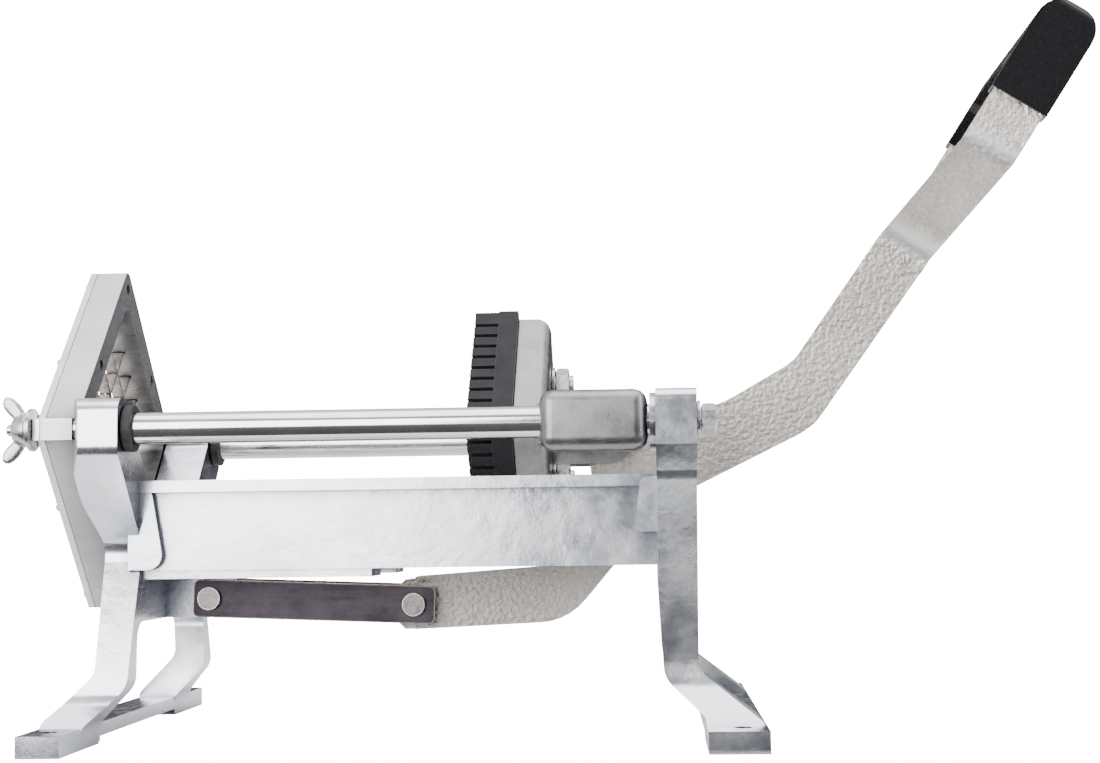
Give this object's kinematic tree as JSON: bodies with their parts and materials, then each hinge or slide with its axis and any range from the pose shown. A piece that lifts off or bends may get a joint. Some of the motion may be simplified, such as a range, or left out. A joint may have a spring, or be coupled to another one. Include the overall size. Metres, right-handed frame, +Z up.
{
  "type": "vegetable dicer",
  "caption": "Lever-operated vegetable dicer: a linked handle slides a slotted pusher along guide rods and presses food through a square grid of blades.",
  "frame": {"origin": "middle of the overall length and width, at the underside of the feet", "axes": "+X from the blades towards the handle, along the guide rods; +Y across, away from the viewed side; +Z up"},
  "size_m": [0.4408, 0.221, 0.2941],
  "materials": {
    "cast_aluminium": "polished cast aluminium",
    "brushed_aluminium": "machined and brushed",
    "stainless_steel": "ground and polished stainless steel",
    "zinc_plated_steel": "zinc plated",
    "blued_steel": "dark blued, with worn edges",
    "sintered_bronze": "sintered, oil filled",
    "sand_cast_alloy": "rough sand cast",
    "black_vinyl": "dipped, glossy",
    "black_rubber": "matt",
    "charcoal_plastic": "moulded, satin"
  },
  "bodies": {
    "frame": {"body_casting": "cast_aluminium", "blade_frame": "brushed_aluminium", "blade_clamp_plate": "brushed_aluminium", "blade_rising_1": "stainless_steel", "blade_rising_2": "stainless_steel", "blade_rising_3": "stainless_steel", "blade_rising_4": "stainless_steel", "blade_rising_5": "stainless_steel", "blade_falling_1": "stainless_steel", "blade_falling_2": "stainless_steel", "blade_falling_3": "stainless_steel", "blade_falling_4": "stainless_steel", "blade_falling_5": "stainless_steel", "blade_screw_top": "zinc_plated_steel", "blade_screw_bottom": "zinc_plated_steel", "blade_screw_upper_near": "zinc_plated_steel", "blade_screw_upper_far": "zinc_plated_steel", "blade_screw_lower_near": "zinc_plated_steel", "blade_screw_lower_far": "zinc_plated_steel", "guide_rod_near": "stainless_steel", "rod_bolt_near": "zinc_plated_steel", "rod_washer_near": "zinc_plated_steel", "rod_bumper_near": "black_rubber", "wing_washer_near": "zinc_plated_steel", "guide_rod_far": "stainless_steel", "rod_bolt_far": "zinc_plated_steel", "rod_washer_far": "zinc_plated_steel", "rod_bumper_far": "black_rubber", "wing_washer_far": "zinc_plated_steel"},
    "pusher": {"pusher_head": "cast_aluminium", "pusher_block": "charcoal_plastic", "sleeve_bush_near": "sintered_bronze", "sleeve_bush_far": "sintered_bronze", "pivot_bolt": "zinc_plated_steel", "pivot_nut": "zinc_plated_steel", "pusher_bolt_upper": "zinc_plated_steel", "pusher_washer_upper": "zinc_plated_steel", "pusher_nut_upper": "zinc_plated_steel", "pusher_bolt_lower": "zinc_plated_steel", "pusher_washer_lower": "zinc_plated_steel", "pusher_nut_lower": "zinc_plated_steel"},
    "lever": {"lever_arm": "sand_cast_alloy", "handle_grip": "black_vinyl", "lever_bush": "sintered_bronze", "lever_end_pin": "blued_steel"},
    "links": {"link_near": "blued_steel", "link_far": "blued_steel", "link_rivet_near": "blued_steel", "link_rivet_far": "blued_steel", "link_front_pin": "blued_steel", "front_pin_clip": "zinc_plated_steel"},
    "wing_nut_near": {"wing_nut_near": "zinc_plated_steel"},
    "wing_nut_far": {"wing_nut_far": "zinc_plated_steel"}
  },
  "joints": [
    {"name": "pusher_slide", "type": "slide", "parent": "frame", "child": "pusher", "axis": [-1, 0, 0], "range_m": [0, 0.158]},
    {"name": "lever_pivot", "type": "hinge", "parent": "pusher", "child": "lever", "pos_m": [0.02137, 0, 0.1215], "axis": [0, -1, 0], "range_deg": [0, 92.59]},
    {"name": "link_pivot", "type": "hinge", "parent": "frame", "child": "links", "pos_m": [-0.15013, 0, 0.056], "axis": [0, -1, 0], "range_deg": [-7.77, 0]},
    {"name": "wing_nut_near_turn", "type": "hinge", "parent": "frame", "child": "wing_nut_near", "pos_m": [-0.21163, -0.074, 0.1255], "axis": [-1, 0, 0], "continuous": true},
    {"name": "wing_nut_far_turn", "type": "hinge", "parent": "frame", "child": "wing_nut_far", "pos_m": [-0.21163, 0.074, 0.1255], "axis": [-1, 0, 0], "continuous": true}
  ],
  "couplings": [
    {"joint": "lever_pivot", "follows": "pusher_slide", "rad_per_m": 10.228},
    {"joint": "link_pivot", "follows": "pusher_slide", "rad_per_m": -0.8583}
  ]
}
